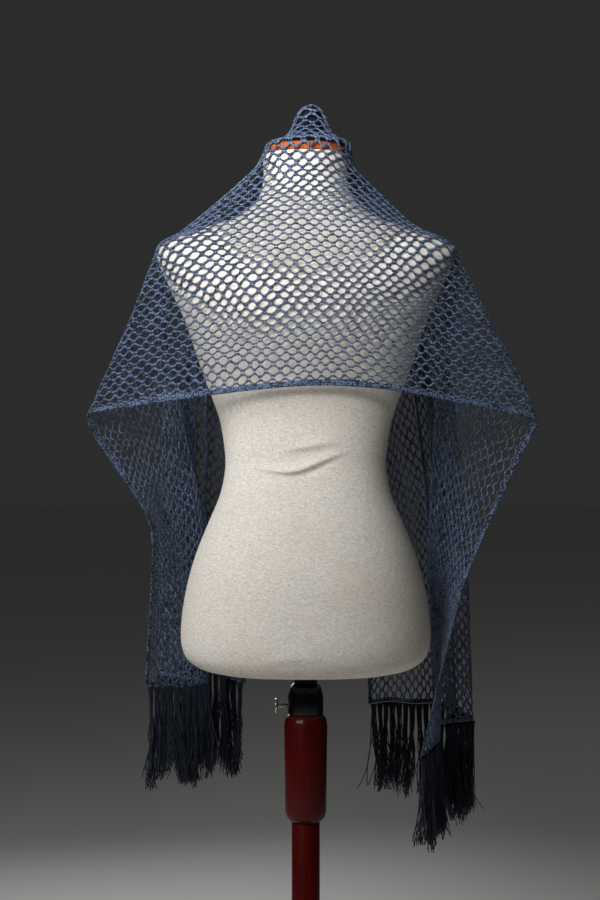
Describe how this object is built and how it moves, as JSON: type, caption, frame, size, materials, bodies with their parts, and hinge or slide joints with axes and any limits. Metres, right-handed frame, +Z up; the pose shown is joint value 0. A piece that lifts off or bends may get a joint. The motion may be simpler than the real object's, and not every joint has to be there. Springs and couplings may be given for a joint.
{
  "type": "fringed net shawl on a limbless dress form",
  "caption": "Crocheted net shawl with fringed ends, draped over the neck and shoulders of a limbless dress form on a turned wooden stand.",
  "frame": {"origin": "middle of the base's underside, on the floor", "axes": "+Z up the post; +Y the way the form's front faces; +X to the right seen from behind it"},
  "size_m": [0.6242, 0.3627, 1.4876],
  "materials": {
    "net_yarn": "matte crochet yarn",
    "border_yarn": "matte crochet yarn",
    "fringe_yarn": "twisted yarn ends",
    "linen_jersey": "fine slubbed cover",
    "mahogany": "gloss varnish",
    "orange_wood": "satin varnish",
    "dark_metal": "dark satin"
  },
  "bodies": {
    "root": {"form_body": "linen_jersey", "neck_cap": "orange_wood", "finial_knob": "mahogany", "metal_collar": "dark_metal", "thumb_screw": "dark_metal", "post_sleeve": "mahogany", "post": "mahogany", "base": "mahogany", "net_top": "net_yarn", "net_left_fall": "net_yarn", "net_right_fall": "net_yarn", "border_outer_top": "border_yarn", "border_outer_left_fall": "border_yarn", "border_outer_right_fall": "border_yarn", "border_inner_top": "border_yarn", "border_inner_left_fall": "border_yarn", "border_inner_right_fall": "border_yarn", "hem_left": "border_yarn", "hem_right": "border_yarn", "fringe_left": "fringe_yarn", "fringe_right": "fringe_yarn"}
  },
  "joints": []
}
